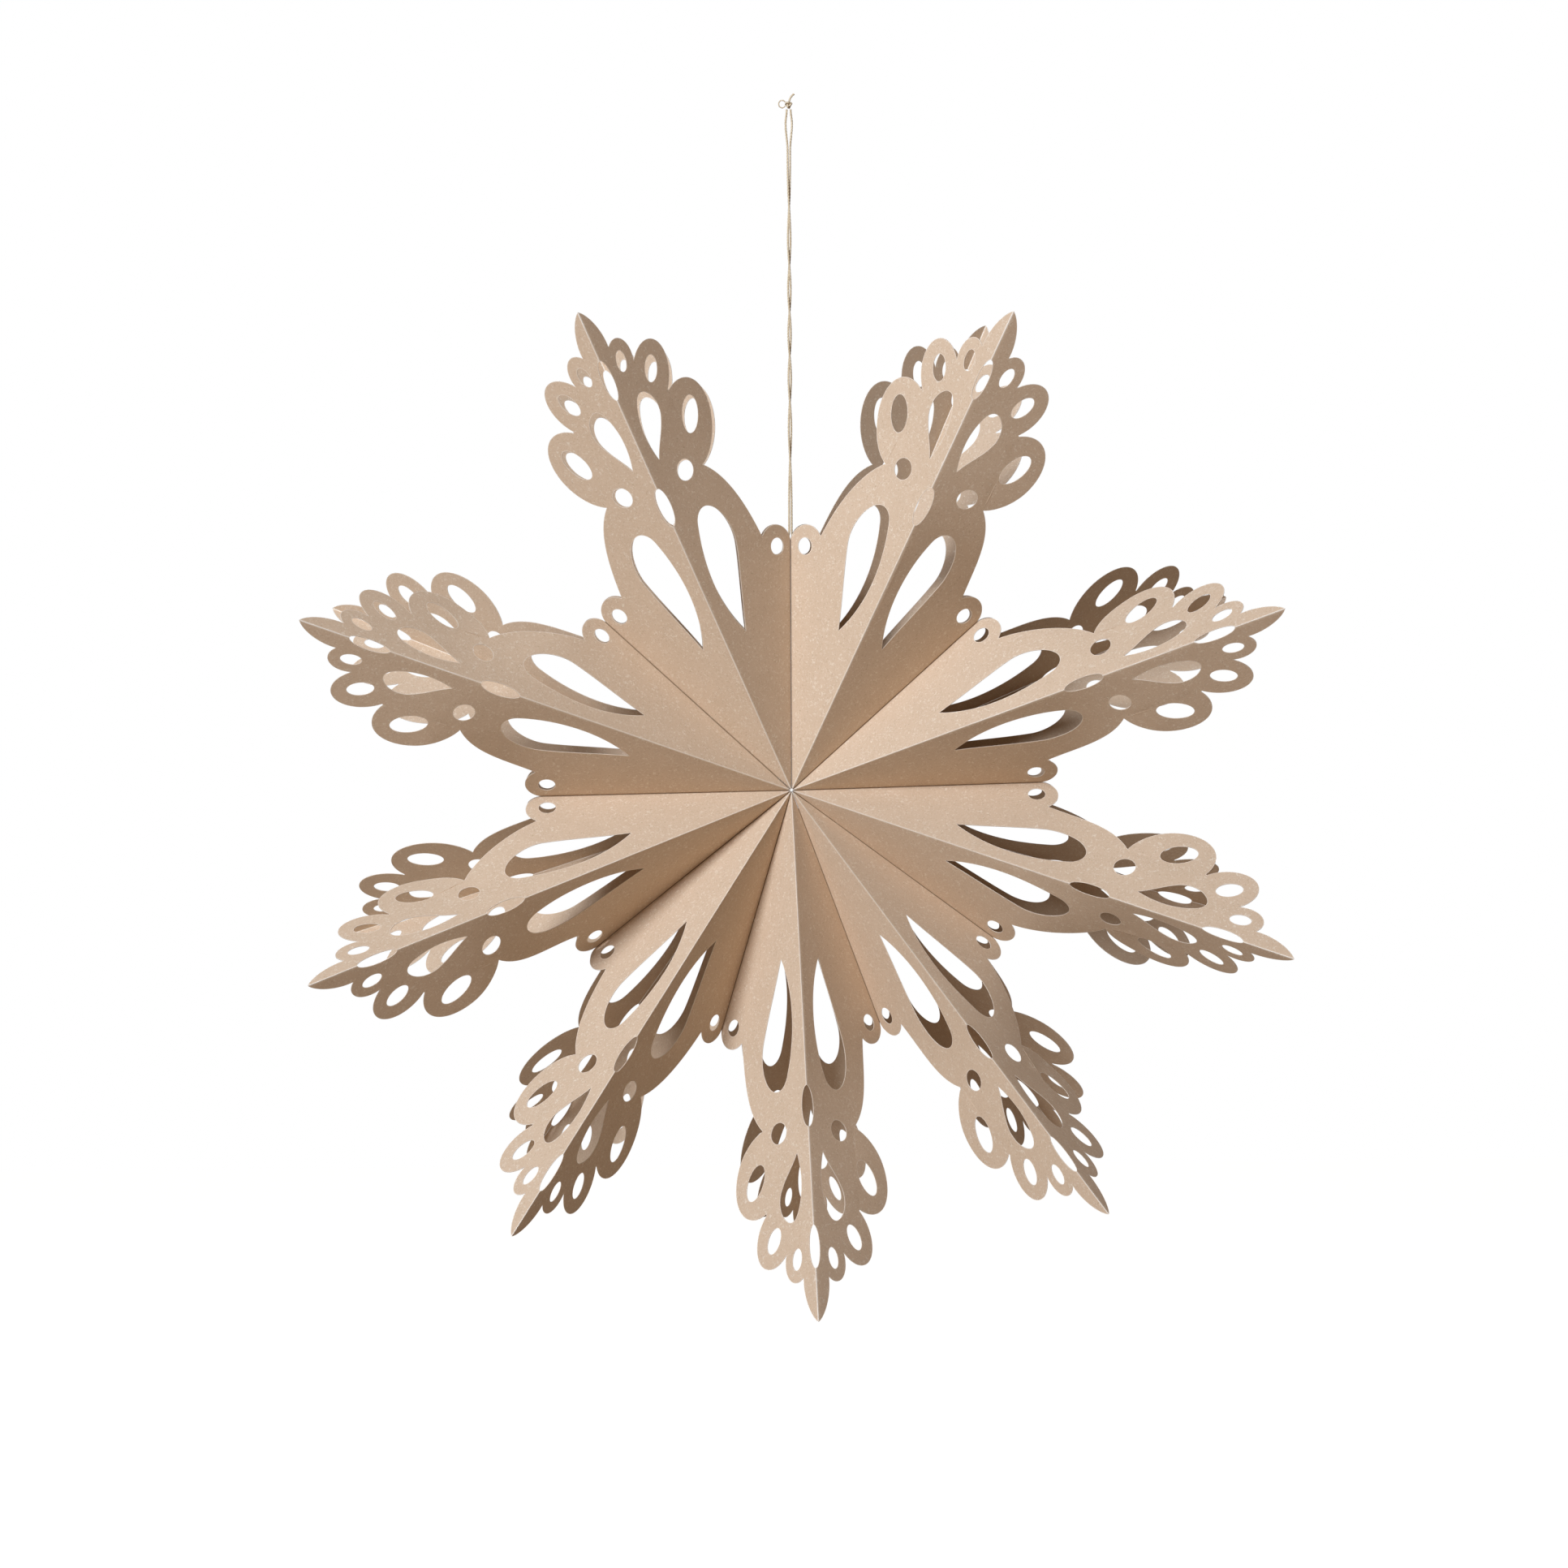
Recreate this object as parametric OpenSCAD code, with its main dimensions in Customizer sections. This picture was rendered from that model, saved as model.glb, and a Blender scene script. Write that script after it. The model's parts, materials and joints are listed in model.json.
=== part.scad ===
// Hanging star of die-cut kraft card.
// Nine points stand round one centre. Each point is a bag of four flat panels that share one pattern,
// creased to each other along its front ridge and its back ridge, and stuck to the next point along a seam.
// The ring of points is closed at the top, where a twine goes through a hole in each of the two end strips.
//
// +Z is up and the front faces -Y. The origin is where a hook holds the twine, just under its knot.
// Points are numbered clockwise from the top, as seen from the front.

/* [Star] */
// Length of a point from the star's centre to its tip, along the ridge crease
point_length = 325; // [250:5:400]
// Flat angle between a panel's seam crease and its ridge crease
panel_angle = 30; // [29:0.5:34]
// Height of the hanging point above the star's centre
hang_drop = 405; // [300:5:600]

/* [Openings] */
// Angle that point 1 stands open, first clockwise from the top
opening_1 = 48; // [45:0.5:51]
// Angle that point 2 stands open
opening_2 = 40.5; // [38:0.5:43]
// Angle that point 3 stands open
opening_3 = 38; // [36:0.5:41]
// Angle that point 4 stands open
opening_4 = 33; // [31:0.5:36]
// Angle that point 5 stands open, the lowest one
opening_5 = 37; // [35:0.5:40]
// Angle that point 6 stands open
opening_6 = 35; // [33:0.5:38]
// Angle that point 7 stands open
opening_7 = 37.5; // [35:0.5:40]
// Angle that point 8 stands open. Point 9 takes what is left of the circle
opening_8 = 43.5; // [42:0.5:46]

/* [Card] */
// Thickness of the card
card_t = 0.3; // [0.2:0.05:0.4]
// Thickness of the glue between two points
glue_t = 0.1; // [0.05:0.05:0.2]
// Width of a seam strip from its front edge to its back edge
seam_w = 5; // [4:0.5:8]
// Room between a panel's edge and its crease
crease_gap = 0.5; // [0.5:0.05:0.8]
// Thickness of the card at a crease, where it is pressed thin so that it folds
press_t = 0.05; // [0.03:0.01:0.06]
// Width of the pressed card beside a crease
press_w = 1.8; // [1.8:0.1:3]
// Angle cut off the seam side of the right panels of the widest point, which stay clear as the star folds
loop_gap = 2.4; // [2.2:0.1:4]

/* [Pattern] */
// Length of the seam crease from the centre to the card's edge
seam_length = 150; // [145:1:152]
// Radius of the round ear beside the seam
ear_r = 12.4; // [11.5:0.1:13]
// Radius of the hole in the ear
ear_hole_r = 5.1; // [4:0.1:6]
// Radius of the round hole below the big lobe
round_hole_r = 6.4; // [5:0.1:7]
// Half length and half width of the big lobe
big_lobe = [28, 20.3]; // [18:0.1:30]
// Half length and half width of the hole in the big lobe
big_hole = [11.2, 6.4]; // [5:0.1:12]
// Half length and half width of the middle lobe
middle_lobe = [20.3, 14.2]; // [13:0.1:22]
// Half length and half width of the hole in the middle lobe
middle_hole = [8, 4.8]; // [4:0.1:9]
// Half length and half width of the small lobe
small_lobe = [13.5, 9.5]; // [9:0.1:14]
// Half length and half width of the hole in the small lobe
small_hole = [6.4, 3.7]; // [3:0.1:7]
// Half length and half width of the inner hole on the ridge crease
inner_ridge_hole = [12.5, 4.7]; // [4:0.1:13]
// Half length and half width of the outer hole on the ridge crease
outer_ridge_hole = [12.8, 4]; // [3.5:0.1:13]

/* [Twine] */
// Diameter of the twine
twine_d = 1.3; // [1:0.1:1.5]
// Distance from the outer end of the end strips to the punched holes that the twine goes through
tie_inset = 10; // [6:1:14]
// Radius of those holes
tie_hole_r = 1.3; // [1:0.1:1.6]
// Number of times that the two strands twist round each other
twists = 3; // [1:1:5]

/* [Hidden] */
POINTS = 9;
SIDES = ["front_left", "front_right", "back_left", "back_right"];

// Openings of points 1 to 9, and the angle of each seam clockwise from the top
stated_openings = [
    opening_1, opening_2, opening_3, opening_4, opening_5, opening_6, opening_7, opening_8
];
function total(list, n) = n == 0 ? 0 : list[n - 1] + total(list, n - 1);
openings = concat(stated_openings, [360 - total(stated_openings, POINTS - 1)]);
function seam_angle(k) = total(openings, k);

// Angle between a panel of point k and the upright plane of its seam
function lean(k) = asin(tan(openings[k - 1] / 2) / tan(panel_angle));

// Angle cut off the seam side of the right panels of point k: wider points need more
function right_clearance(k) = loop_gap * pow(openings[k - 1] / max(openings), 2);

// Every crease line of the front sheet runs from the centre at y = -seam_w / 2, and of the back from +
half_seam = seam_w / 2;
strip_start = 12;
panel_start = 6;

// The pattern is drawn in mm for a panel 325 long and 30 degrees wide, with the seam crease along X.
// flat() carries a point of it to the panel in hand.
PATTERN_LENGTH = 325;
PATTERN_ANGLE = 30;
size = point_length / PATTERN_LENGTH;
function flat(p) =
    let (r = norm(p) * size, a = atan2(p.y, p.x) * panel_angle / PATTERN_ANGLE)
    [r * cos(a), r * sin(a)];

// Centres of the pattern's round features
EAR = [147, 12];
EAR_HOLE = [146.5, 11];
ROUND_HOLE = [192, 82.2];
BIG_LOBE = [218, 80];
BIG_HOLE = [224.6, 77.3];
MIDDLE_LOBE = [247.5, 107.5];
MIDDLE_HOLE = [250.6, 107.5];
SMALL_LOBE = [254.5, 130.5];
SMALL_HOLE = [254.3, 130.3];
SMALL_TILT = 20;
INNER_RIDGE_HOLE = 196;
OUTER_RIDGE_HOLE = 280.3;

// Notches between the ear, the shoulder, the lobes and the spear tip
EAR_NOTCH = [153, 23.5];
SHOULDER_NOTCH = [195.3, 69];
BIG_NOTCH = [238.5, 94];
MIDDLE_NOTCH = [253.5, 120.7];
SMALL_NOTCH = [262.5, 140];
TIP = [281.46, 162.5];

// Curves: each is a start point, two handles and an end point
SHOULDER = [EAR_NOTCH, [172, 36], [190, 50], SHOULDER_NOTCH];
SPEAR = [SMALL_NOTCH, [271, 144], [280, 154], TIP];
LARGE_DROP = [
    [[96.5, 36], [115, 39.2], [135, 40.5], [149.5, 43.6]],
    [[149.5, 43.6], [160, 46.5], [170.5, 56], [171, 65]],
    [[171, 65], [171.3, 71], [166, 74.3], [160, 73.2]],
    [[160, 73.2], [137, 69.5], [113, 58], [96.5, 36]]
];
OUTER_DROP = [
    [[197.7, 102.1], [206, 102.6], [213, 99.8], [221.5, 100.2]],
    [[221.5, 100.2], [229, 100.2], [236.5, 106], [237, 113.4]],
    [[237, 113.4], [237, 117.5], [233.5, 119], [229.5, 118.7]],
    [[229.5, 118.7], [217, 117.5], [207, 111.5], [197.7, 102.1]]
];
CURVE_STEPS = 7;
OVAL_STEPS = 20;

function curve(c) = [
    for (i = [0 : CURVE_STEPS - 1])
        let (t = i / CURVE_STEPS, u = 1 - t)
        flat(u * u * u * c[0] + 3 * u * u * t * c[1] + 3 * u * t * t * c[2] + t * t * t * c[3])
];
function curves(list) = [for (c = list, p = curve(c)) p];

// Oval about a centre in the flat panel, with its long axis tilted from the seam
module oval(centre, half, tilt = 0)
    translate(centre)
        rotate(tilt)
            polygon([
                for (i = [0 : OVAL_STEPS - 1])
                    let (a = 360 * i / OVAL_STEPS)
                    size * [half.x * cos(a), half.y * sin(a)]
            ]);

module ridge_oval(distance, half)
    oval(distance * size * [cos(panel_angle), sin(panel_angle)], half, panel_angle);

// The card of one panel before its holes: a sector with an ear, a shoulder, three lobes and half a spear
module panel_card() {
    polygon(concat(
        [panel_start * [cos(panel_angle), sin(panel_angle)], [panel_start, 0], [seam_length * size, 0]],
        curve(SHOULDER),
        [flat(SHOULDER_NOTCH), flat(BIG_NOTCH), flat(MIDDLE_NOTCH)],
        curve(SPEAR),
        [flat(TIP)]
    ));
    oval(flat(EAR), [ear_r, ear_r]);
    oval(flat(BIG_LOBE), big_lobe);
    oval(flat(MIDDLE_LOBE), middle_lobe);
    oval(flat(SMALL_LOBE), small_lobe, SMALL_TILT);
}

module panel_holes() {
    oval(flat(EAR_HOLE), [ear_hole_r, ear_hole_r]);
    oval(flat(ROUND_HOLE), [round_hole_r, round_hole_r]);
    oval(flat(BIG_HOLE), big_hole);
    oval(flat(MIDDLE_HOLE), middle_hole);
    oval(flat(SMALL_HOLE), small_hole, SMALL_TILT);
    polygon(curves(LARGE_DROP));
    polygon(curves(OUTER_DROP));
    ridge_oval(INNER_RIDGE_HOLE, inner_ridge_hole);
    ridge_oval(OUTER_RIDGE_HOLE, outer_ridge_hole);
}

// The room for a panel beside a crease along X: it starts crease_gap away and widens from press_t
module crease_room() {
    far = 2 * point_length;
    end_t = 2 * card_t - press_t;
    rotate([90, 0, 90])
        linear_extrude(far)
            polygon([
                [crease_gap, press_t / 2], [crease_gap, -press_t / 2],
                [crease_gap + 2 * press_w, -end_t / 2], [far, -end_t / 2],
                [far, end_t / 2], [crease_gap + 2 * press_w, end_t / 2]
            ]);
}

// One flat panel in the XY plane, its seam crease along X. clearance is the angle cut off its seam side.
module panel(clearance)
    intersection() {
        linear_extrude(card_t, center = true)
            difference() {
                panel_card();
                panel_holes();
            }
        rotate(clearance)
            crease_room();
        rotate(panel_angle)
            mirror([0, 1, 0])
                crease_room();
    }

// Turns children from a seam along +X to the seam of that angle clockwise from the top
module at_seam(angle)
    translate([0, 0, -hang_drop])
        rotate([0, angle - 90, 0])
            children();

// The four panels of point k. Each turns about its seam crease until its lean from the seam's plane.
module front_left(k)
    color("#cbb294")
        at_seam(seam_angle(k - 1))
            translate([0, -half_seam, 0])
                rotate([180 + lean(k), 0, 0])
                    panel(0);

module front_right(k)
    color("#c2a888")
        at_seam(seam_angle(k))
            translate([0, -half_seam, 0])
                rotate([180 - lean(k), 0, 0])
                    panel(right_clearance(k));

module back_left(k)
    color("#cbb294")
        at_seam(seam_angle(k - 1))
            translate([0, half_seam, 0])
                rotate([-lean(k), 0, 0])
                    panel(0);

module back_right(k)
    color("#c2a888")
        at_seam(seam_angle(k))
            translate([0, half_seam, 0])
                rotate([lean(k), 0, 0])
                    panel(right_clearance(k));

// Strip between the front and back crease lines of a seam, t thick and offset sideways
module strip(angle, t, side)
    at_seam(angle)
        translate([strip_start, -half_seam, side * t / 2 - t / 2])
            cube([seam_length * size - strip_start, seam_w, t]);

module glued_seam(k)
    color("#b79b7b")
        strip(seam_angle(k), 2 * card_t + glue_t, 0);

// End strip of card on one side of the top seam, with the punched hole for the twine
module end_strip(side)
    color("#b79b7b")
        difference() {
            translate([side * glue_t, 0, 0])
                strip(0, card_t, -side);
            translate([0, 0, -tie_depth])
                rotate([0, 90, 0])
                    cylinder(r = tie_hole_r, h = 4, center = true, $fn = 24);
        }

// Twine: z is the depth below the hook. The strands start apart under the knot and run together below the eye.
top_gap = 1.2;
eye_gap = 1.9;
strand_start = -0.5;
eye_end = 16;
lay_gap = twine_d / 2 + 0.1;
tie_gap = 2.6;
tie_depth = hang_drop - seam_length * size + tie_inset;
split_length = 24;
split_depth = tie_depth - split_length;
strand_rings = 35;
tie_rings = 6;
function smooth(t) = let (u = max(0, min(1, t))) u * u * (3 - 2 * u);
function strand_gap(z) =
    z < eye_end / 2 ? top_gap + (eye_gap - top_gap) * smooth(2 * z / eye_end)
    : z < eye_end * 1.5 ? eye_gap + (lay_gap - eye_gap) * smooth(z / eye_end - 0.5)
    : lay_gap + (tie_gap - lay_gap) * smooth((z - split_depth) / (split_length - tie_gap));
function strand_turn(z) = 360 * twists * smooth((z - eye_end) / (split_depth - eye_end));
function strand(z, side) =
    [side * strand_gap(z) * cos(strand_turn(z)), side * strand_gap(z) * sin(strand_turn(z)), -z];
strand_end = tie_depth - tie_gap;
function strand_depth(i) = strand_start + (strand_end - strand_start) * i / strand_rings;
twine_path = concat(
    [for (i = [0 : strand_rings]) strand(strand_depth(i), 1)],
    [for (i = [1 : tie_rings - 1])
        let (a = 180 * i / tie_rings) [tie_gap * cos(a), 0, -strand_end - tie_gap * sin(a)]],
    [for (i = [strand_rings : -1 : 0]) strand(strand_depth(i), -1)]
);

// Round tube of n sides swept along a path that stays near the XZ plane: its rings are square to the path
function unit(v) = v / norm(v);
function tangent(path, i) = unit(path[min(i + 1, len(path) - 1)] - path[max(i - 1, 0)]);
module tube(path, d, n = 8) {
    rings = [
        for (i = [0 : len(path) - 1])
            let (t = tangent(path, i), side = unit(cross([0, 1, 0], t)), up = cross(t, side))
            for (j = [0 : n - 1])
                path[i] + d / 2 * (cos(360 * j / n) * side + sin(360 * j / n) * up)
    ];
    last = n * (len(path) - 1);
    polyhedron(
        rings,
        concat(
            [[for (j = [0 : n - 1]) j]],
            [for (i = [0 : len(path) - 2], j = [0 : n - 1])
                let (a = n * i + j, b = n * i + (j + 1) % n) [a, a + n, b + n, b]],
            [[for (j = [n - 1 : -1 : 0]) last + j]]
        ),
        convexity = 10
    );
}

module twine()
    color("#c9b38f")
        tube(twine_path, twine_d);

knot_r = 2.4;
knot_z = 0.8 + knot_r;

module knot()
    color("#c2a97f")
        translate([0, 0, knot_z])
            sphere(knot_r, $fn = 32);

module side_loop()
    color("#c9b38f")
        translate([-3.7, 0, knot_z + 0.4])
            rotate([90, 0, 0])
                rotate_extrude(angle = 300, start = 30, $fn = 32)
                    translate([2.2, 0])
                        circle(d = 0.8, $fn = 16);

// Cut ends of the twine, standing up out of the knot
module twine_tail()
    color("#c9b38f")
        translate([0, 0, knot_z + knot_r - 0.6])
            rotate([0, 35, 0])
                cylinder(d = twine_d, h = 6, $fn = 24);

for (k = [1 : POINTS]) {
    front_left(k);
    front_right(k);
    back_left(k);
    back_right(k);
}
for (k = [1 : POINTS - 1]) {
    glued_seam(k);
}
end_strip(1);  // end_strip_right
end_strip(-1);  // end_strip_left
twine();
knot();
side_loop();
twine_tail();
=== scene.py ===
"""Hanging star of die-cut kraft card: nine folded points, glued seams and a knotted jute twine."""

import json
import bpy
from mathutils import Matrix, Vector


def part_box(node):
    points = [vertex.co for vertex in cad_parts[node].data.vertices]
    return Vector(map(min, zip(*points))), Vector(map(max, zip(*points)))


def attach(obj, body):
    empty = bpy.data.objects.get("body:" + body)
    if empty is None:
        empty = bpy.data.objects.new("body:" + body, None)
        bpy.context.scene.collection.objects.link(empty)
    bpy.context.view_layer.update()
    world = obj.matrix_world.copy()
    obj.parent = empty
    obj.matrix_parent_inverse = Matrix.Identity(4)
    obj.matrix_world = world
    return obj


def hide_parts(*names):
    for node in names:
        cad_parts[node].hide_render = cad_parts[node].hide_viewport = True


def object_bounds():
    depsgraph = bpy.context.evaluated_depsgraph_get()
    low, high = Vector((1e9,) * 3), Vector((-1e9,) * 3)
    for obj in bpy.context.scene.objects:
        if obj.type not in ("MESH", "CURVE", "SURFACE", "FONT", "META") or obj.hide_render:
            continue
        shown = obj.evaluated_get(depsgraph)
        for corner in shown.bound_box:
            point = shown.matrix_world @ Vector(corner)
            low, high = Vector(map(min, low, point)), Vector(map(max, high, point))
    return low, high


bl_info = {
    "name": "Hanging card star",
    "version": (1, 0, 0),
    "blender": (4, 5, 0),
    "location": "3D View > Sidebar > Star",
    "description": "Builds the card panels, seams, twine and stage of a hanging star",
    "category": "Object",
}

import bpy
import numpy as np
from mathutils import Vector
from mathutils.geometry import delaunay_2d_cdt

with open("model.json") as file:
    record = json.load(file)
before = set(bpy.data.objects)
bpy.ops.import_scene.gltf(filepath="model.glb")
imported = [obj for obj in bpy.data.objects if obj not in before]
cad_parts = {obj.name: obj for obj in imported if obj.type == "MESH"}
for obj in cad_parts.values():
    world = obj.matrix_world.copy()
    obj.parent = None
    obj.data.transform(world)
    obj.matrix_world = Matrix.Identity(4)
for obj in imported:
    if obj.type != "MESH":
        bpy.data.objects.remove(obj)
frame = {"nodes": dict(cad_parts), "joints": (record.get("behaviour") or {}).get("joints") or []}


def box_list():
    """The whole object's lowest and highest corners, as plain lists of metres."""
    return [[float(v) for v in corner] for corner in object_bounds()]


CAD_BOX = box_list()
MM = 0.001
POINTS = 9
JOINTS = {joint["name"]: joint for joint in frame["joints"]}
KNOT_BODY = "twine_knot"


def linear(hex_colour):
    """An sRGB hex colour as linear red, green, blue and alpha."""
    srgb = np.array([int(hex_colour[i : i + 2], 16) for i in (0, 2, 4)]) / 255
    low, high = srgb / 12.92, ((srgb + 0.055) / 1.055) ** 2.4
    return (*np.where(srgb <= 0.04045, low, high).tolist(), 1.0)


# ---------------------------------------------------------------- settings


class StarCard(bpy.types.PropertyGroup):
    """Sizes and colours of the card."""

    thickness: bpy.props.FloatProperty(
        name="Thickness", description="Thickness of the card", default=0.3 * MM, unit="LENGTH"
    )
    bow: bpy.props.FloatProperty(
        name="Bow", description="How far a panel's middle curves outwards", default=1.5 * MM, unit="LENGTH"
    )
    colour: bpy.props.FloatVectorProperty(
        name="Kraft", description="Colour of the card's face", default=linear("D5BB9C"),
        size=4, subtype="COLOR",
    )
    # Pale colour of the painted highlight along the cut edges and the ridge creases
    pale: bpy.props.FloatVectorProperty(
        name="Cut edge", description="Colour of cut edges and ridge creases", default=linear("F2E6D2"),
        size=4, subtype="COLOR",
    )
    # Dark brown of the glue line, which also serves as painted shade in the seam valleys and on the glued
    # strips
    seam: bpy.props.FloatVectorProperty(
        name="Seam", description="Colour of the glue line in a seam", default=linear("6E4E33"),
        size=4, subtype="COLOR",
    )


class StarTwine(bpy.types.PropertyGroup):
    """Sizes and colours of the twine."""

    diameter: bpy.props.FloatProperty(
        name="Diameter", description="Diameter of the twine", default=1.3 * MM, unit="LENGTH"
    )
    ply_pitch: bpy.props.FloatProperty(
        name="Ply pitch", description="Length in which the plies turn once", default=3.6 * MM, unit="LENGTH"
    )
    colour: bpy.props.FloatVectorProperty(
        name="Jute", description="Colour of the jute", default=linear("E2D2B2"), size=4, subtype="COLOR"
    )


# ---------------------------------------------------------------- helpers


def add_node(tree, kind, inputs=None, **settings):
    """Adds a node with its settings, and sets or links its inputs by name or number."""
    node = tree.nodes.new(kind)
    for key, value in settings.items():
        setattr(node, key, value)
    for key, value in (inputs or {}).items():
        if isinstance(value, bpy.types.NodeSocket):
            tree.links.new(value, node.inputs[key])
        else:
            node.inputs[key].default_value = value
    return node


def new_material(name):
    """An empty node material and its tree."""
    material = bpy.data.materials.new(name)
    material.use_nodes = True
    material.node_tree.nodes.clear()
    return material, material.node_tree


def make_piece(name, verts, triangles, material, uv=None, edge=None, sharp=35):
    """Puts arrays of points and triangles into a new object, shaded smooth below the sharp angle."""
    mesh = bpy.data.meshes.new(name)
    mesh.vertices.add(len(verts))
    mesh.vertices.foreach_set("co", np.asarray(verts, np.float32).ravel())
    mesh.loops.add(3 * len(triangles))
    mesh.loops.foreach_set("vertex_index", np.asarray(triangles, np.int32).ravel())
    mesh.polygons.add(len(triangles))
    mesh.polygons.foreach_set("loop_start", np.arange(0, 3 * len(triangles), 3, dtype=np.int32))
    mesh.update(calc_edges=True)
    mesh.polygons.foreach_set("use_smooth", np.ones(len(triangles), bool))
    mesh.set_sharp_from_angle(angle=np.radians(sharp))
    if uv is not None:
        layer = mesh.uv_layers.new(name="flat")
        layer.data.foreach_set("uv", np.asarray(uv, np.float32)[triangles.ravel()].ravel())
    if edge is not None:
        distance = mesh.attributes.new("edge_mm", "FLOAT", "POINT")
        distance.data.foreach_set("value", np.asarray(edge, np.float32))
    mesh.materials.append(material)
    piece = bpy.data.objects.new(name, mesh)
    bpy.context.collection.objects.link(piece)
    return piece


def smooth(t):
    """Rises from 0 to 1 with level ends: t squared times (3 - 2 t), t held between 0 and 1."""
    t = np.clip(t, 0, 1)
    return t * t * (3 - 2 * t)


def tube_arrays(path, radius, sides):
    """Points and triangles of a closed tube along a path near the XZ plane.

    Each ring stands square to the path: path + r(turn, length) * (cos a * side + sin a * up),
    where side is +Y crossed with the path's direction. Its two ends are closed by fans.
    """
    ahead = np.gradient(path, axis=0)
    ahead /= np.linalg.norm(ahead, axis=1)[:, None]
    side = np.cross([0.0, 1.0, 0.0], ahead)
    side /= np.linalg.norm(side, axis=1)[:, None]
    up = np.cross(ahead, side)
    turn = np.linspace(0, 2 * np.pi, sides, endpoint=False)
    length = np.concatenate([[0], np.cumsum(np.linalg.norm(np.diff(path, axis=0), axis=1))])
    r = radius(turn[None, :], length[:, None])[..., None]
    cos_turn, sin_turn = np.cos(turn)[None, :, None], np.sin(turn)[None, :, None]
    rings = path[:, None] + r * (cos_turn * side[:, None] + sin_turn * up[:, None])
    count = len(path)
    i, j = np.meshgrid(np.arange(count - 1), np.arange(sides), indexing="ij")
    a, b = i * sides + j, i * sides + (j + 1) % sides
    walls = np.concatenate([np.stack([a, b, b + sides], -1), np.stack([a, b + sides, a + sides], -1)])
    walls = walls.reshape(-1, 3)
    verts = np.concatenate([rings.reshape(-1, 3), path[:1], path[-1:]])
    j = np.arange(sides)
    start = np.stack([np.full(sides, len(verts) - 2), (j + 1) % sides, j], -1)
    last = (count - 1) * sides
    end = np.stack([np.full(sides, len(verts) - 1), last + j, last + (j + 1) % sides], -1)
    uv = np.stack(np.meshgrid(length, turn, indexing="ij"), -1)
    uv = np.concatenate([uv.reshape(-1, 2), [[0, 0], [length[-1], 0]]])
    return verts, np.concatenate([walls, start, end]), uv


# ---------------------------------------------------------------- camera and stage

STAR_CENTRE = Vector(JOINTS["fold"]["pos_m"])


class StageCamera(bpy.types.Operator):
    """Adds the camera, in front of the star, a little above its centre and to its left"""

    bl_idname = "star.camera"
    bl_label = "Camera"

    def execute(self, context):
        distance, rise, left, roll = 2.53, np.radians(4.0), np.radians(1.55), np.radians(-0.25)
        camera = bpy.data.objects.new("camera", bpy.data.cameras.new("camera"))
        camera.data.angle = 2 * np.arctan(0.471 / distance)
        aim = STAR_CENTRE + Vector((-0.0045, 0, 0.0037))
        towards = Vector((-np.sin(left) * np.cos(rise), -np.cos(left) * np.cos(rise), np.sin(rise)))
        camera.location = aim + distance * towards
        camera.rotation_euler = (aim - camera.location).to_track_quat("-Z", "Y").to_euler()
        camera.rotation_euler.rotate_axis("Z", roll)
        context.collection.objects.link(camera)
        context.scene.camera = camera
        return {"FINISHED"}


class StageSetup(bpy.types.Operator):
    """Adds the pale floor, the soft lights and the white surroundings"""

    bl_idname = "star.stage"
    bl_label = "Stage"

    def execute(self, context):
        context.scene.view_settings.view_transform = "Standard"
        material, tree = new_material("floor_paper")
        # Studio paper roll, plain and matt: white where it is lit, with the star's shadow kept on it
        seen = add_node(tree, "ShaderNodeLightPath").outputs["Is Camera Ray"]
        matt = add_node(tree, "ShaderNodeBsdfDiffuse", {"Color": linear("E0D4C6")}).outputs[0]
        glow = add_node(
            tree, "ShaderNodeEmission", {"Color": linear("FFFFFF"), "Strength": 0.94}
        ).outputs[0]
        both = add_node(tree, "ShaderNodeAddShader", {0: matt, 1: glow}).outputs[0]
        mixed = add_node(tree, "ShaderNodeMixShader", {0: seen, 1: matt, 2: both}).outputs[0]
        add_node(tree, "ShaderNodeOutputMaterial", {"Surface": mixed})
        half, z = 6.0, CAD_BOX[0][2] - 0.9
        floor = bpy.data.meshes.new("floor")
        corners = [(-half, -half, z), (half, -half, z), (half, half, z), (-half, half, z)]
        floor.from_pydata(corners, [], [(0, 1, 2, 3)])
        floor.materials.append(material)
        floor = bpy.data.objects.new("floor", floor)
        context.collection.objects.link(floor)

        world = bpy.data.worlds.new("studio")
        context.scene.world = world
        world.use_nodes = True
        tree = world.node_tree
        tree.nodes.clear()
        seen = add_node(tree, "ShaderNodeLightPath")
        fill = add_node(
            tree, "ShaderNodeBackground", {"Color": linear("FFDFC6"), "Strength": 0.10}
        ).outputs[0]
        white = add_node(
            tree, "ShaderNodeBackground", {"Color": linear("FFFFFF"), "Strength": 1.0}
        ).outputs[0]
        mixed = add_node(
            tree, "ShaderNodeMixShader", {0: seen.outputs["Is Camera Ray"], 1: fill, 2: white}
        ).outputs[0]
        add_node(tree, "ShaderNodeOutputWorld", {"Surface": mixed})

        # Key from the upper left and in front, and a wide warm fill from the front
        for name, place, size, watts, tint in (
            ("key", (-1.45, -2.25, 1.65), 1.0, 112.0, "E6EEFF"),
            ("front_fill", (0.9, -3.2, 0.1), 2.4, 6.0, "FFDDC1"),
        ):
            lamp = bpy.data.lights.new(name, "AREA")
            lamp.shape, lamp.size, lamp.energy = "DISK", size, watts
            lamp.color = linear(tint)[:3]
            lamp = bpy.data.objects.new(name, lamp)
            lamp.location = STAR_CENTRE + Vector(place)
            lamp.rotation_euler = (-Vector(place)).to_track_quat("-Z", "Y").to_euler()
            context.collection.objects.link(lamp)
        return {"FINISHED"}


# ---------------------------------------------------------------- card panels

PANEL_ANGLE = np.radians(30.0)
PANEL_LENGTH, SEAM_LENGTH, CARD_START = 325.0, 150.0, 0.9
RIDGE = np.array([np.cos(PANEL_ANGLE), np.sin(PANEL_ANGLE)])

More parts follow.
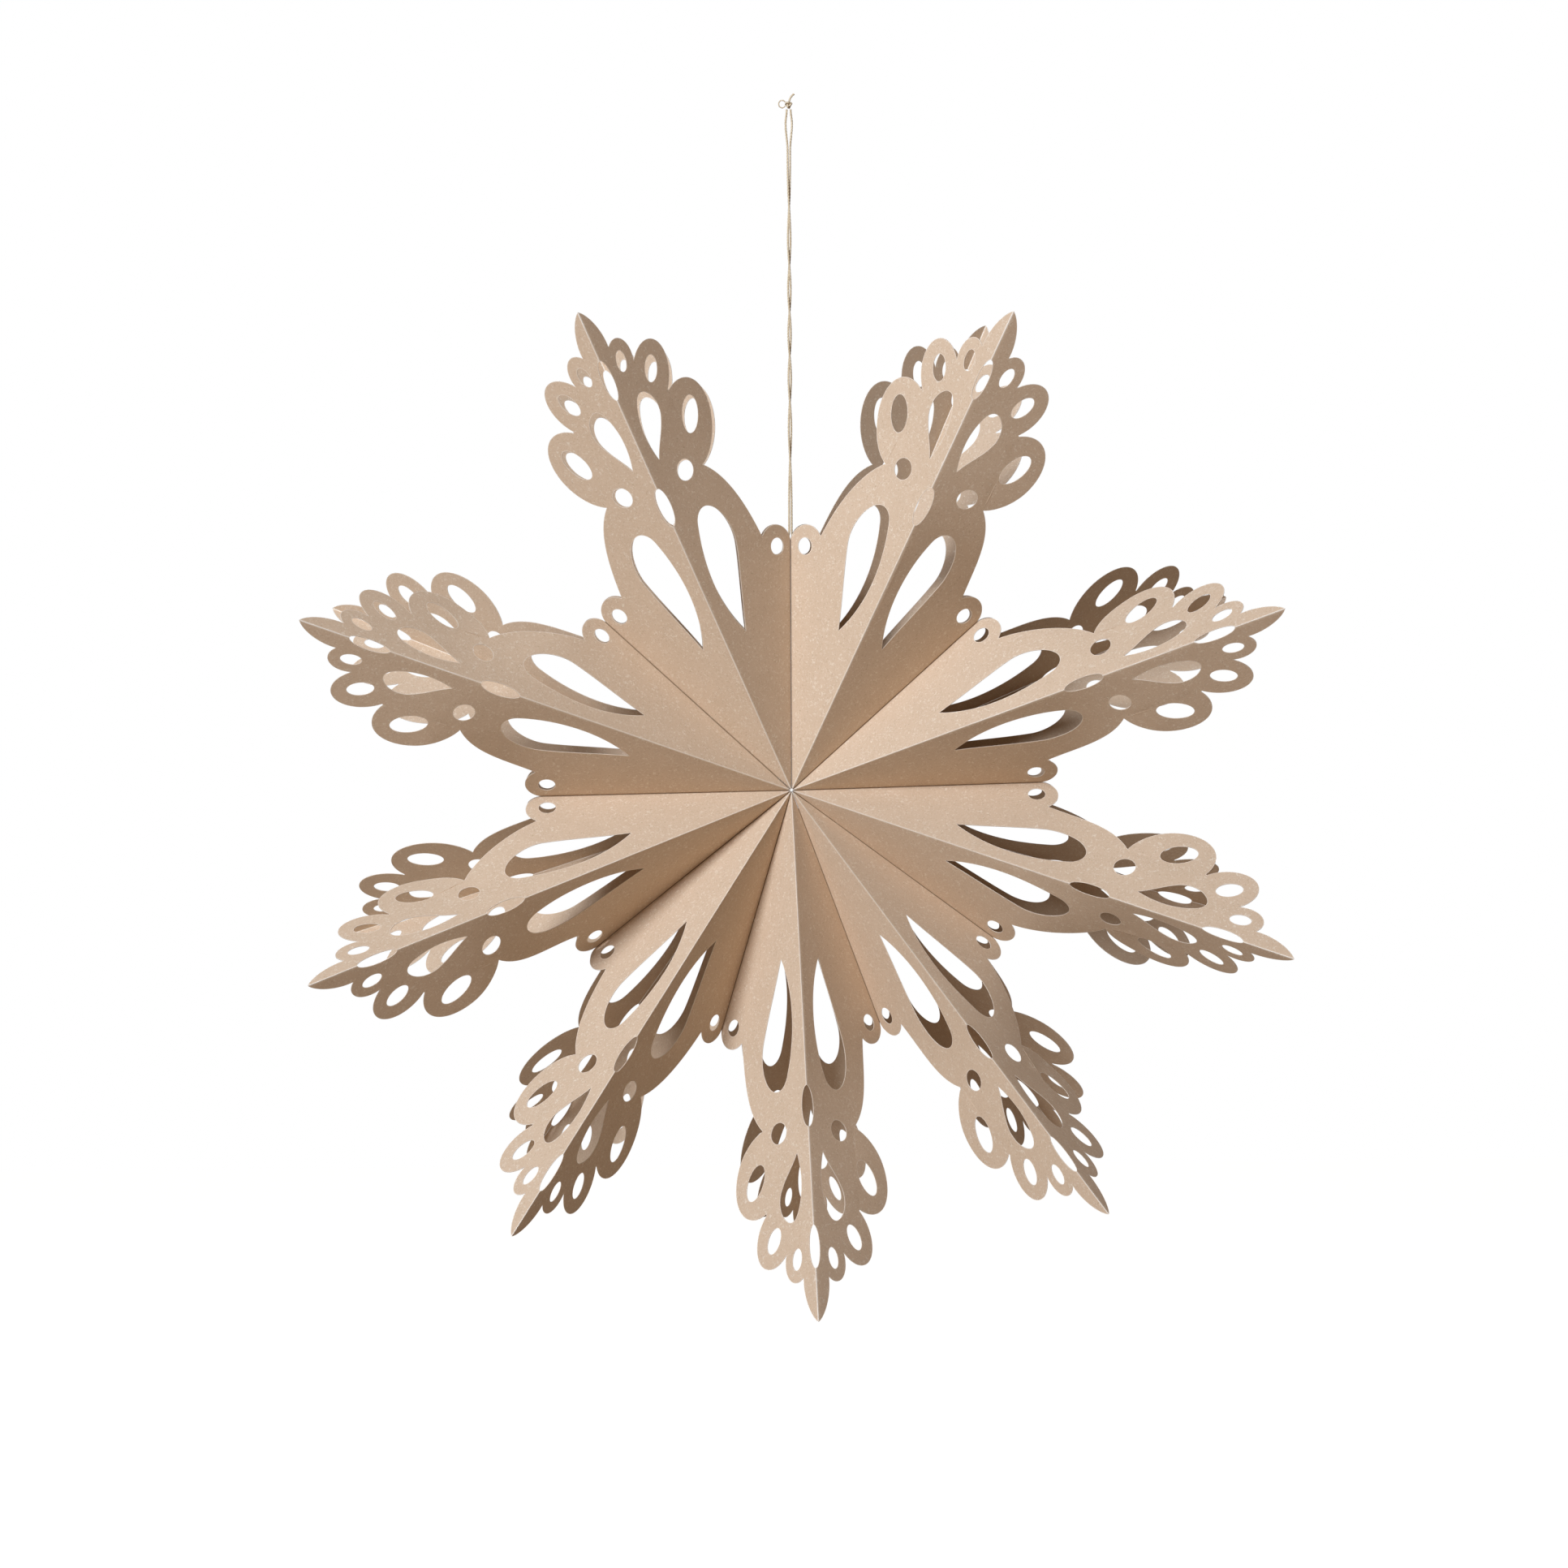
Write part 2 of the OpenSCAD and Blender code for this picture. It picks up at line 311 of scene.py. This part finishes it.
# The flat pattern, in mm: the seam crease lies along X and the ridge crease 30 degrees from it.
# Each oval is its centre, its half length and half width, and its tilt in degrees.
CARD_OVALS = [
    ((147, 12), (12.4, 12.4), 0),
    ((218, 80), (28, 20.3), 0),
    ((247.5, 107.5), (20.3, 14.2), 0),
    ((254.5, 130.5), (13.5, 9.5), 20),
]
HOLE_OVALS = [
    ((146.5, 11), (5.1, 5.1), 0),
    ((192, 82.2), (6.4, 6.4), 0),
    ((224.6, 77.3), (11.2, 6.4), 0),
    ((250.6, 107.5), (8, 4.8), 0),
    ((254.3, 130.3), (6.4, 3.7), 20),
    (tuple(196 * RIDGE), (12.5, 4.7), 30),
    (tuple(280.3 * RIDGE), (12.8, 4), 30),
]
# Curves: each is a start point, two handles and an end point
SHOULDER = [(153, 23.5), (172, 36), (190, 50), (195.3, 69)]
SPEAR = [(262.5, 140), (271, 144), (280, 154), tuple(PANEL_LENGTH * RIDGE)]
NOTCHES = [(195.3, 69), (238.5, 94), (253.5, 120.7)]
LARGE_DROP = [
    [(96.5, 36), (115, 39.2), (135, 40.5), (149.5, 43.6)],
    [(149.5, 43.6), (160, 46.5), (170.5, 56), (171, 65)],
    [(171, 65), (171.3, 71), (166, 74.3), (160, 73.2)],
    [(160, 73.2), (137, 69.5), (113, 58), (96.5, 36)],
]
OUTER_DROP = [
    [(197.7, 102.1), (206, 102.6), (213, 99.8), (221.5, 100.2)],
    [(221.5, 100.2), (229, 100.2), (236.5, 106), (237, 113.4)],
    [(237, 113.4), (237, 117.5), (233.5, 119), (229.5, 118.7)],
    [(229.5, 118.7), (217, 117.5), (207, 111.5), (197.7, 102.1)],
]
# Degrees that the outer lobes of a point's front left and front right panels curl outwards about the ridge,
# for points 1 to 9, and the share of it that the back panels curl
CURL = [(-7, 9), (-11, 8), (8, -12), (-11, 8), (7, 4), (-2, -2), (13, -12), (8, -11), (0, -3)]
BACK_CURL = -0.35
# Distances from the centre between which the curl grows, just past the end of the seam
CURL_START, CURL_FULL = 156.0, 230.0
# The card starts at these distances from its creases, and is pressed thin up to PRESS from them.
# RIM is the width of the band of narrow triangles inside the cut edges.
SEAM_EDGE = 0.15
RIDGE_EDGE = 0.04
RIM = 0.55
PRESS = 1.6


def bezier(curve, steps):
    """Cubic curve (1-t)^3 a + 3 (1-t)^2 t b + 3 (1-t) t^2 c + t^3 d, without its last point."""
    t = np.linspace(0, 1, steps, endpoint=False)[:, None]
    a, b, c, d = np.array(curve, float)
    return (1 - t) ** 3 * a + 3 * (1 - t) ** 2 * t * b + 3 * (1 - t) * t * t * c + t**3 * d


def oval(shape, grow, steps=64):
    """Ellipse centre + (a cos u, b sin u) turned by its tilt, with both half sizes grown."""
    centre, half, tilt = shape
    u = np.linspace(0, 2 * np.pi, steps, endpoint=False)
    x, y = (half[0] + grow) * np.cos(u), (half[1] + grow) * np.sin(u)
    tilt = np.radians(tilt)
    turned = [x * np.cos(tilt) - y * np.sin(tilt), x * np.sin(tilt) + y * np.cos(tilt)]
    return np.array(centre) + np.stack(turned, -1)


def offset(loop, distance):
    """A counter-clockwise loop moved outwards: each point goes along the mean normal of its two sides."""
    before, after = np.roll(loop, 1, 0), np.roll(loop, -1, 0)
    along = after - before
    along /= np.linalg.norm(along, axis=1)[:, None]
    return loop + distance * np.stack([along[:, 1], -along[:, 0]], -1)


def inside(points, loop):
    """True where a ray from a point along +X crosses the loop an odd number of times."""
    x, y = points[:, 0, None], points[:, 1, None]
    ax, ay = loop.T
    bx, by = np.roll(loop, -1, 0).T
    with np.errstate(divide="ignore", invalid="ignore"):
        crossing = ((ay > y) != (by > y)) & (x < ax + (y - ay) * (bx - ax) / (by - ay))
    return crossing.sum(1) % 2 == 1


def ridge_distance(points):
    """Distance from the ridge crease, positive on the panel: x sin A - y cos A."""
    return points[:, 0] * RIDGE[1] - points[:, 1] * RIDGE[0]


def segment_distance(points, a, b):
    """Least distance from each point to any of the segments a to b."""
    best = np.full(len(points), np.inf)
    for part in range(0, len(a), 200):
        p, q = a[part : part + 200], b[part : part + 200]
        along = q - p
        t = ((points[:, None] - p) * along).sum(-1) / (along**2).sum(-1)
        near = p + np.clip(t, 0, 1)[..., None] * along
        best = np.minimum(best, np.linalg.norm(points[:, None] - near, axis=-1).min(1))
    return best


def flat_panel():
    """The pattern as one triangulated sheet: points in mm, triangles, outer edges and edge distances.

    The card is the union of a sector with a curved outer side and four ovals, less the holes.
    Its loops, a band just inside every cut edge and rows beside both creases are joined by a
    constrained Delaunay triangulation, and the triangles whose middle lies on the card are kept.
    """
    outer = np.concatenate(
        [
            [CARD_START * RIDGE, (CARD_START, 0), (SEAM_LENGTH, 0)],
            bezier(SHOULDER, 24),
            NOTCHES,
            bezier(SPEAR, 20),
            [PANEL_LENGTH * RIDGE],
        ]
    )
    drops = [np.concatenate([bezier(c, 16) for c in drop]) for drop in (LARGE_DROP, OUTER_DROP)]
    card = [outer] + [oval(shape, 0) for shape in CARD_OVALS]
    holes = [oval(shape, 0, 48) for shape in HOLE_OVALS] + drops
    bands = [oval(shape, -RIM) for shape in CARD_OVALS] + [oval(shape, RIM, 48) for shape in HOLE_OVALS]
    bands += [offset(outer, -RIM)] + [offset(drop, RIM) for drop in drops]
    far = PANEL_LENGTH + 5
    across = np.array([RIDGE[1], -RIDGE[0]])
    rows = [np.array([(0, d), (far, d)], float) for d in (SEAM_EDGE, PRESS)]
    rows += [np.array([d * across, far * RIDGE + d * across]) for d in (RIDGE_EDGE, PRESS)]
    gx, gy = np.meshgrid(np.arange(5, PANEL_LENGTH, 5.5), np.arange(2, PANEL_LENGTH / 2, 5.5))
    grid = np.stack([gx.ravel(), gy.ravel()], -1)
    grid = grid[ridge_distance(grid) > 2]

    loops = card + holes + bands
    points, edges, count = [], [], 0
    for loop in loops + rows:
        index = np.arange(len(loop))
        pairs = np.stack([index, (index + 1) % len(loop)], -1)[: 1 if len(loop) == 2 else None]
        edges.append(pairs + count)
        points.append(loop)
        count += len(loop)
    points = np.concatenate(points + [grid])
    found = delaunay_2d_cdt([Vector(p) for p in points.tolist()], np.concatenate(edges).tolist(), [], 0, 1e-5)
    verts = np.array([tuple(v) for v in found[0]])
    triangles = np.array([f for f in found[2] if len(f) == 3])
    middle = verts[triangles].mean(1)
    keep = (middle[:, 1] > SEAM_EDGE) & (ridge_distance(middle) > RIDGE_EDGE)
    keep &= np.any([inside(middle, loop) for loop in card], 0)
    keep &= ~np.any([inside(middle, loop) for loop in holes], 0)
    used, triangles = np.unique(triangles[keep], return_inverse=True)
    verts, triangles = verts[used], triangles.reshape(-1, 3)

    sides = triangles[:, [[0, 1], [1, 2], [2, 0]]].reshape(-1, 2)
    _, where, times = np.unique(np.sort(sides, 1), axis=0, return_inverse=True, return_counts=True)
    rim = sides[times[where.ravel()] == 1]
    seam = verts[rim][:, :, 1].max(1) < SEAM_EDGE + 0.01
    ridge = ridge_distance(verts[rim].reshape(-1, 2)).reshape(-1, 2).max(1) < RIDGE_EDGE + 0.01
    cut = rim[~seam & ~ridge]
    edge = segment_distance(verts, verts[cut[:, 0]], verts[cut[:, 1]])
    return verts, triangles, rim, edge


def unit(v):
    return v / np.linalg.norm(v)


def crease(name, outwards):
    """A crease's start, and its direction away from the star's centre, from the joint on it."""
    joint = JOINTS[name]
    axis = unit(np.array(joint["axis"], float))
    return np.array(joint["pos_m"], float), axis if axis @ outwards > 0 else -axis


def panel_arrays(verts, face, joints, outwards, curl, card):
    """Points of one panel's two faces, as thick as the card and pressed thin beside its creases.

    A point (x, y) of the pattern goes to start + x s + y e + w n, where s runs along the seam
    crease, e lies in the panel square to it, n is square to both, and w is the bow
    b sin(pi v) (r / L)^1.5 outwards, v being the share of the way from the seam to the ridge.
    Past CURL_START the panel then curls about its ridge line: a vector q square to the ridge
    becomes q cos a + |q| sin a times the outward normal, and a reaches the curl at CURL_FULL.
    """
    start, s = crease(joints[0], outwards)
    _, r = crease(joints[1], outwards)
    e = unit(r - (r @ s) * s)
    n = np.cross(s, e)
    outer = 1 if n @ face > 0 else -1
    radius = np.linalg.norm(verts, axis=1)
    share = np.arctan2(verts[:, 1], verts[:, 0]) / PANEL_ANGLE
    w = outer * card.bow * np.sin(np.pi * np.clip(share, 0, 1)) * (radius / PANEL_LENGTH) ** 1.5
    place = MM * (verts[:, :1] * s + verts[:, 1:] * e) + w[:, None] * n
    a = (np.radians(curl) * smooth((radius - CURL_START) / (CURL_FULL - CURL_START)))[:, None]
    along = (place @ r)[:, None] * r
    across = place - along
    reach = np.linalg.norm(across, axis=1)[:, None]
    middle = start + along + across * np.cos(a) + outer * reach * np.sin(a) * n
    near = np.minimum(verts[:, 1] - SEAM_EDGE, ridge_distance(verts) - RIDGE_EDGE)
    half = card.thickness * (0.02 + 0.48 * smooth(near / (PRESS - SEAM_EDGE)))
    return np.concatenate([middle + half[:, None] * n, middle - half[:, None] * n])


def kraft_card(card):
    """Kraft card, die-cut and creased: warm beige with fine fibres, a painted highlight on its cut edges and
    ridges, and a glue line with painted shade along its seams.
    """
    material, tree = new_material("kraft_card_die_cut")
    place = add_node(tree, "ShaderNodeTexCoord").outputs["Object"]
    # Clouds of pulp about 12 mm across, specks and fibres of 0.6 to 1.5 mm drawn coarser than the real 0.2 mm
    cloud = add_node(tree, "ShaderNodeTexNoise", {"Vector": place, "Scale": 1 / 0.012, "Detail": 3.0})
    speck = add_node(
        tree, "ShaderNodeTexNoise", {"Vector": place, "Scale": 1 / 0.0011, "Detail": 4.0, "Roughness": 0.75}
    )
    fibre = add_node(
        tree, "ShaderNodeTexNoise", {"Vector": place, "Scale": 1 / 0.0016, "Detail": 2.0, "Distortion": 1.2}
    )
    dark, light = linear("A98C6A"), linear("EBDDC6")
    tone = add_node(
        tree, "ShaderNodeMapRange", {0: cloud.outputs["Fac"], 1: 0.3, 2: 0.7, 3: 0.0, 4: 0.10}
    ).outputs[0]
    colour = add_node(
        tree, "ShaderNodeMix", {0: tone, 6: tuple(card.colour), 7: dark}, data_type="RGBA"
    ).outputs[2]
    low = add_node(
        tree, "ShaderNodeMapRange", {0: speck.outputs["Fac"], 1: 0.56, 2: 0.72, 3: 0.0, 4: 0.75}
    ).outputs[0]
    colour = add_node(tree, "ShaderNodeMix", {0: low, 6: colour, 7: dark}, data_type="RGBA").outputs[2]
    high = add_node(
        tree, "ShaderNodeMapRange", {0: fibre.outputs["Fac"], 1: 0.56, 2: 0.70, 3: 0.0, 4: 0.6}
    ).outputs[0]
    colour = add_node(
        tree, "ShaderNodeMix", {0: high, 6: colour, 7: light}, data_type="RGBA"
    ).outputs[2]
    # Distances in mm from the ridge crease and the seam crease, from the flat pattern's own map
    flat = add_node(tree, "ShaderNodeUVMap", uv_map="flat").outputs[0]
    ridge = add_node(
        tree, "ShaderNodeVectorMath", {0: flat, 1: (RIDGE[1], -RIDGE[0], 0)}, operation="DOT_PRODUCT"
    ).outputs["Value"]
    seam = add_node(tree, "ShaderNodeSeparateXYZ", {0: flat}).outputs["Y"]
    edge = add_node(tree, "ShaderNodeAttribute", attribute_name="edge_mm").outputs["Fac"]
    # Painted highlight: the folded ridge and the cut edge are painted pale as if lit; the seam gets its glue
    # line, darkened further as painted shade
    # Painted highlight along the ridge crease: pale within about 0.75 mm of it
    ridge_highlight = add_node(
        tree, "ShaderNodeMapRange", {0: ridge, 1: 0.25, 2: 0.75, 3: 0.75, 4: 0.0}
    ).outputs[0]
    colour = add_node(
        tree, "ShaderNodeMix", {0: ridge_highlight, 6: colour, 7: tuple(card.pale)}, data_type="RGBA"
    ).outputs[2]
    # Glue line and painted shade: a dark brown band along the seam crease, where the valley between points is
    # shaded
    glue_and_shade = add_node(tree, "ShaderNodeMapRange", {0: seam, 1: 0.15, 2: 0.8, 3: 0.85, 4: 0.0}).outputs[0]
    colour = add_node(
        tree, "ShaderNodeMix", {0: glue_and_shade, 6: colour, 7: tuple(card.seam)}, data_type="RGBA"
    ).outputs[2]
    # Painted highlight: a pale band along every cut edge, standing in for the lit edge of the card
    cut = add_node(tree, "ShaderNodeMapRange", {0: edge, 1: 0.1, 2: 0.5, 3: 0.6, 4: 0.0}).outputs[0]
    colour = add_node(
        tree, "ShaderNodeMix", {0: cut, 6: colour, 7: tuple(card.pale)}, data_type="RGBA"
    ).outputs[2]
    grain = add_node(
        tree, "ShaderNodeBump", {"Height": speck.outputs["Fac"], "Strength": 0.12, "Distance": 0.05 * MM}
    )
    shade = add_node(
        tree,
        "ShaderNodeBsdfPrincipled",
        {"Base Color": colour, "Roughness": 0.65, "Specular IOR Level": 0.4, "Normal": grain.outputs[0]},
    )
    add_node(tree, "ShaderNodeOutputMaterial", {"Surface": shade.outputs[0]})
    return material


class CardPoints(bpy.types.Operator):
    """Builds the 36 die-cut panels of the nine points"""

    bl_idname = "star.points"
    bl_label = "Points"

    def execute(self, context):
        card = context.scene.star_card
        material = kraft_card(card)
        verts, triangles, rim, edge = flat_panel()
        count = len(verts)
        walls = np.concatenate(
            [
                np.stack([rim[:, 1], rim[:, 0], rim[:, 0] + count], -1),
                np.stack([rim[:, 1], rim[:, 0] + count, rim[:, 1] + count], -1),
            ]
        )
        faces = np.concatenate([triangles, triangles[:, ::-1] + count, walls])
        uv = np.concatenate([verts, verts])
        edges = np.concatenate([edge, edge])
        for k in range(1, POINTS + 1):
            for name, face in (("front", (0, -1, 0)), ("back", (0, 1, 0))):
                centre = (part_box(f"point_{k}_{name}_left")[0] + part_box(f"point_{k}_{name}_left")[1]) / 2
                outwards = np.array(centre - STAR_CENTRE)
                share = 1 if name == "front" else BACK_CURL
                for side, seam, curl in zip(("left", "right"), (k, k % POINTS + 1), CURL[k - 1]):
                    node = f"point_{k}_{name}_{side}"
                    points = panel_arrays(
                        verts,
                        np.array(face),
                        (f"crease_{seam}_{name}", f"ridge_{k}_{name}"),
                        outwards,
                        share * curl,
                        card,
                    )
                    piece = make_piece(f"card_{node}", points, faces, material, uv, edges)
                    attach(piece, node)
                    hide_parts(node)
        return {"FINISHED"}


class CardSeams(bpy.types.Operator):
    """Finishes the glued strips between the points and the two end strips"""

    bl_idname = "star.seams"
    bl_label = "Seams"

    def execute(self, context):
        card = context.scene.star_card
        material, tree = new_material("kraft_card_glue_and_shade")
        # Two glued layers of kraft card seen on edge: darker for the glue and for painted shade in the valley
        # between points, with fibres across
        place = add_node(tree, "ShaderNodeTexCoord").outputs["Object"]
        fibre = add_node(
            tree, "ShaderNodeTexNoise", {"Vector": place, "Scale": 1 / 0.0015, "Detail": 4.0}
        )
        share = add_node(
            tree, "ShaderNodeMapRange", {0: fibre.outputs["Fac"], 1: 0.35, 2: 0.65, 3: 0.1, 4: 0.6}
        ).outputs[0]
        colour = add_node(
            tree, "ShaderNodeMix", {0: share, 6: linear("B79B7B"), 7: tuple(card.seam)}, data_type="RGBA"
        ).outputs[2]
        shade = add_node(
            tree,
            "ShaderNodeBsdfPrincipled",
            {"Base Color": colour, "Roughness": 0.85, "Specular IOR Level": 0.25},
        )
        add_node(tree, "ShaderNodeOutputMaterial", {"Surface": shade.outputs[0]})
        names = [f"seam_{k}_{k + 1}" for k in range(1, POINTS)] + ["end_strip_right", "end_strip_left"]
        for name in names:
            mesh = frame["nodes"][name].data
            mesh.materials.clear()
            mesh.materials.append(material)
        return {"FINISHED"}


# ---------------------------------------------------------------- twine

TOP_GAP, EYE_GAP, EYE_END = 1.2, 1.9, 16.0
STRAND_START, TIE_GAP, TWISTS = -0.5, 2.6, 3
TIE_DEPTH = -1000 * JOINTS["tilt"]["pos_m"][2]
SPLIT_DEPTH = TIE_DEPTH - 16
STRAND_END = TIE_DEPTH - TIE_GAP


def strand(z, side, lay_gap):
    """Points of one strand in mm at depths z: (g cos u, g sin u, -z) on its side of the middle.

    The gap g opens to the eye under the knot, closes to the lay and opens again at the tie;
    u winds round three times between the eye and the tie.
    """
    gap = np.where(
        z < EYE_END / 2,
        TOP_GAP + (EYE_GAP - TOP_GAP) * smooth(2 * z / EYE_END),
        np.where(
            z < EYE_END * 1.5,
            EYE_GAP + (lay_gap - EYE_GAP) * smooth(z / EYE_END - 0.5),
            lay_gap + (TIE_GAP - lay_gap) * smooth((z - SPLIT_DEPTH) / (TIE_DEPTH - SPLIT_DEPTH - TIE_GAP)),
        ),
    )
    turn = 2 * np.pi * TWISTS * smooth((z - EYE_END) / (SPLIT_DEPTH - EYE_END))
    return np.stack([side * gap * np.cos(turn), side * gap * np.sin(turn), -z], -1)


def jute_twine(twine):
    """Jute twine, two plies twisted: pale straw, hairy and matt, darker between the plies."""
    material, tree = new_material("jute_twine_twisted")
    place = add_node(tree, "ShaderNodeTexCoord").outputs["Object"]
    # Fibres 0.1 mm wide run with the plies, drawn 0.5 mm wide so that they show
    fibre = add_node(
        tree, "ShaderNodeTexNoise", {"Vector": place, "Scale": 1 / 0.0009, "Detail": 4.0, "Roughness": 0.7}
    )
    patch = add_node(tree, "ShaderNodeTexNoise", {"Vector": place, "Scale": 1 / 0.009, "Detail": 2.0})
    share = add_node(
        tree, "ShaderNodeMapRange", {0: fibre.outputs["Fac"], 1: 0.4, 2: 0.7, 3: 0.0, 4: 0.7}
    ).outputs[0]
    colour = add_node(
        tree, "ShaderNodeMix", {0: share, 6: tuple(twine.colour), 7: linear("A98F66")}, data_type="RGBA"
    ).outputs[2]
    share = add_node(
        tree, "ShaderNodeMapRange", {0: patch.outputs["Fac"], 1: 0.45, 2: 0.7, 3: 0.0, 4: 0.4}
    ).outputs[0]
    colour = add_node(
        tree, "ShaderNodeMix", {0: share, 6: colour, 7: linear("CDB48A")}, data_type="RGBA"
    ).outputs[2]
    grain = add_node(
        tree, "ShaderNodeBump", {"Height": fibre.outputs["Fac"], "Strength": 0.4, "Distance": 0.1 * MM}
    )
    shade = add_node(
        tree,
        "ShaderNodeBsdfPrincipled",
        {"Base Color": colour, "Roughness": 0.9, "Specular IOR Level": 0.2, "Normal": grain.outputs[0]},
    )
    add_node(tree, "ShaderNodeOutputMaterial", {"Surface": shade.outputs[0]})
    return material


def ply_radius(diameter, pitch):
    """Radius of a two-ply section that turns along the length: R (0.72 + 0.28 |cos(a - 2 pi l / p)|)."""

    def radius(turn, length):
        return diameter / 2 * (0.72 + 0.28 * np.abs(np.cos(turn - 2 * np.pi * length / pitch)))

    return radius


class Twine(bpy.types.Operator):
    """Builds the doubled twine from the knot down through the end strips and back"""

    bl_idname = "star.twine"
    bl_label = "Twine"

    def execute(self, context):
        twine = context.scene.star_twine
        lay_gap = twine.diameter / MM / 2 + 0.1
        z = np.linspace(STRAND_START, STRAND_END, 520)
        bend = np.linspace(0, np.pi, 24)[1:-1]
        tie = np.stack([TIE_GAP * np.cos(bend), 0 * bend, -STRAND_END - TIE_GAP * np.sin(bend)], -1)
        path = MM * np.concatenate([strand(z, 1, lay_gap), tie, strand(z[::-1], -1, lay_gap)])
        verts, triangles, uv = tube_arrays(path, ply_radius(twine.diameter, twine.ply_pitch), 12)
        piece = make_piece("twine_strands", verts, triangles, jute_twine(twine), uv, sharp=60)
        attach(piece, "twine")
        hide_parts("twine")
        return {"FINISHED"}


class Knot(bpy.types.Operator):
    """Builds the knot, its side loop and the cut tail of the twine"""

    bl_idname = "star.knot"
    bl_label = "Knot"

    def execute(self, context):
        twine = context.scene.star_twine
        material = bpy.data.materials["jute_twine_twisted"]
        radius = ply_radius(twine.diameter, twine.ply_pitch)
        low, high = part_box("knot")
        middle, half = (np.array(low) + np.array(high)) / 2, (np.array(high) - np.array(low)) / 2
        # Overhand knot drawn tight: a trefoil (sin t + 2 sin 2t, cos t - 2 cos 2t, -sin 3t), squeezed
        t = np.linspace(0, 2 * np.pi, 160)
        reach = half - twine.diameter / 2
        across, up = (np.sin(t) + 2 * np.sin(2 * t)) / 3, (np.cos(t) - 2 * np.cos(2 * t)) / 3
        trefoil = np.stack([across, -np.sin(3 * t), up], -1)
        pieces = [("knot", middle + trefoil * reach, twine.diameter)]
        low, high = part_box("side_loop")
        centre, size = (np.array(low) + np.array(high)) / 2, np.array(high) - np.array(low)
        thin = 0.8 * MM
        t = np.linspace(0.5, 2 * np.pi - 0.5, 60)
        loop = np.stack([np.cos(t) * (size[0] - thin) / 2, 0 * t, np.sin(t) * (size[2] - thin) / 2], -1)
        pieces.append(("side_loop", centre + loop, thin))
        low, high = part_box("twine_tail")
        low, high = np.array(low), np.array(high)
        t = np.linspace(0, 1, 40)[:, None]
        inset, sway = 0.7 * MM, np.array([-0.4, 0, 0.5]) * MM
        a, b = np.array([low[0] + inset, 0, low[2]]), np.array([high[0] - inset, 0, high[2] - inset])
        pieces.append(("twine_tail", a + (b - a) * t + np.sin(np.pi * t) * sway, twine.diameter))
        for name, path, diameter in pieces:
            verts, triangles, uv = tube_arrays(path, ply_radius(diameter, twine.ply_pitch), 12)
            piece = make_piece(f"{name}_jute", verts, triangles, material, uv, sharp=60)
            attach(piece, KNOT_BODY)
            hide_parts(name)
        return {"FINISHED"}


# ---------------------------------------------------------------- add-on


class StarPanel(bpy.types.Panel):
    """Lists the steps that build the star"""

    bl_idname = "VIEW3D_PT_star"
    bl_label = "Star"
    bl_space_type = "VIEW_3D"
    bl_region_type = "UI"
    bl_category = "Star"

    def draw(self, context):
        for settings in (context.scene.star_card, context.scene.star_twine):
            for name in settings.__annotations__:
                self.layout.prop(settings, name)
        for step in STEPS:
            self.layout.operator(step.bl_idname)


STEPS = (StageCamera, Twine, Knot, CardPoints, CardSeams, StageSetup)
CLASSES = (StarCard, StarTwine, *STEPS, StarPanel)


def register():
    for item in CLASSES:
        bpy.utils.register_class(item)
    bpy.types.Scene.star_card = bpy.props.PointerProperty(type=StarCard)
    bpy.types.Scene.star_twine = bpy.props.PointerProperty(type=StarTwine)


def unregister():
    del bpy.types.Scene.star_card, bpy.types.Scene.star_twine
    for item in reversed(CLASSES):
        bpy.utils.unregister_class(item)


def main():
    register()
    bpy.ops.star.camera()
    bpy.ops.star.twine()
    bpy.ops.star.knot()
    bpy.ops.star.points()
    bpy.ops.star.seams()
    bpy.ops.star.stage()


if __name__ == "__main__":
    main()
